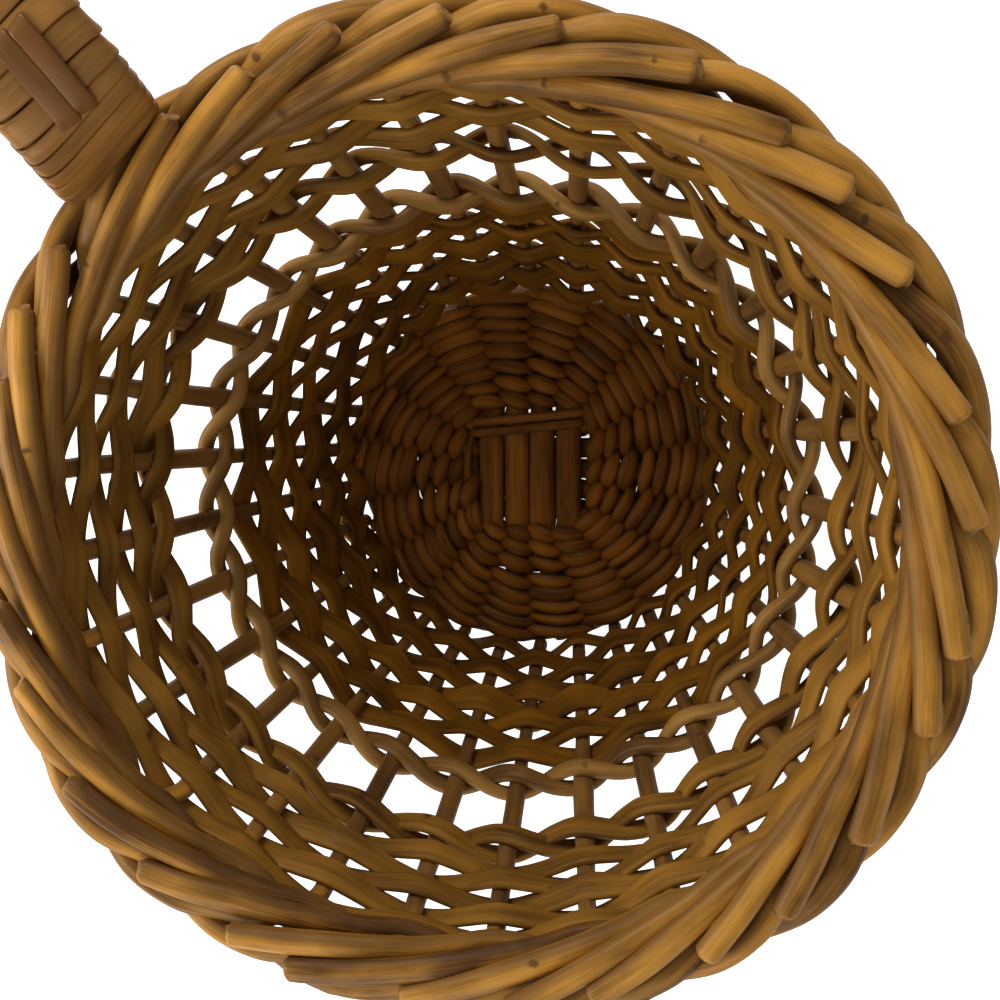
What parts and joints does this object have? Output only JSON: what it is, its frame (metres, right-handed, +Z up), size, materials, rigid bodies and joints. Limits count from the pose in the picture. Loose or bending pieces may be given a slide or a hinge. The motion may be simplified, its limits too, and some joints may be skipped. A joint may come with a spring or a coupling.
{
  "type": "wicker planter basket",
  "caption": "Round willow basket with an open band round its waist, a rolled border and a wrapped side handle.",
  "frame": {"origin": "middle of the base, on the ground that the basket stands on", "axes": "+Z up through the mouth, +X out towards the side handle"},
  "size_m": [0.2444, 0.1859, 0.1293],
  "materials": {
    "stake_willow": "varnished willow rod, satin",
    "weaver_willow": "varnished split willow, satin",
    "stick_willow": "varnished willow stick, dark satin",
    "handle_cane": "varnished flat cane, smooth satin"
  },
  "bodies": {
    "root": {"bottom_base_stick_1": "stick_willow", "bottom_base_stick_2": "stick_willow", "bottom_base_stick_3": "stick_willow", "bottom_base_stick_4": "stick_willow", "bottom_base_stick_5": "stick_willow", "top_base_stick_1": "stick_willow", "top_base_stick_2": "stick_willow", "top_base_stick_3": "stick_willow", "top_base_stick_4": "stick_willow", "base_weaver_1": "weaver_willow", "base_weaver_2": "weaver_willow", "lower_weaver_1": "weaver_willow", "lower_weaver_2": "weaver_willow", "lower_weaver_3": "weaver_willow", "lower_weaver_4": "weaver_willow", "upper_weaver_1": "weaver_willow", "upper_weaver_2": "weaver_willow", "lower_pair_rod_1": "weaver_willow", "lower_pair_rod_2": "weaver_willow", "upper_pair_rod_1": "weaver_willow", "upper_pair_rod_2": "weaver_willow", "stake_01": "stake_willow", "stake_02": "stake_willow", "stake_03": "stake_willow", "stake_04": "stake_willow", "stake_05": "stake_willow", "stake_06": "stake_willow", "stake_07": "stake_willow", "stake_08": "stake_willow", "stake_09": "stake_willow", "stake_10": "stake_willow", "stake_11": "stake_willow", "stake_12": "stake_willow", "stake_13": "stake_willow", "stake_14": "stake_willow", "stake_15": "stake_willow", "stake_16": "stake_willow", "stake_17": "stake_willow", "stake_18": "stake_willow", "stake_19": "stake_willow", "stake_20": "stake_willow", "stake_21": "stake_willow", "stake_22": "stake_willow", "stake_23": "stake_willow", "stake_24": "stake_willow", "stake_25": "stake_willow", "stake_26": "stake_willow", "stake_27": "stake_willow", "stake_28": "stake_willow", "stake_29": "stake_willow", "handle_rod_1": "stick_willow", "handle_rod_2": "stick_willow", "handle_rod_3": "stick_willow", "handle_rod_4": "stick_willow", "handle_wrap": "handle_cane", "handle_lay_strip_1": "handle_cane", "handle_lay_strip_2": "handle_cane"}
  },
  "joints": []
}
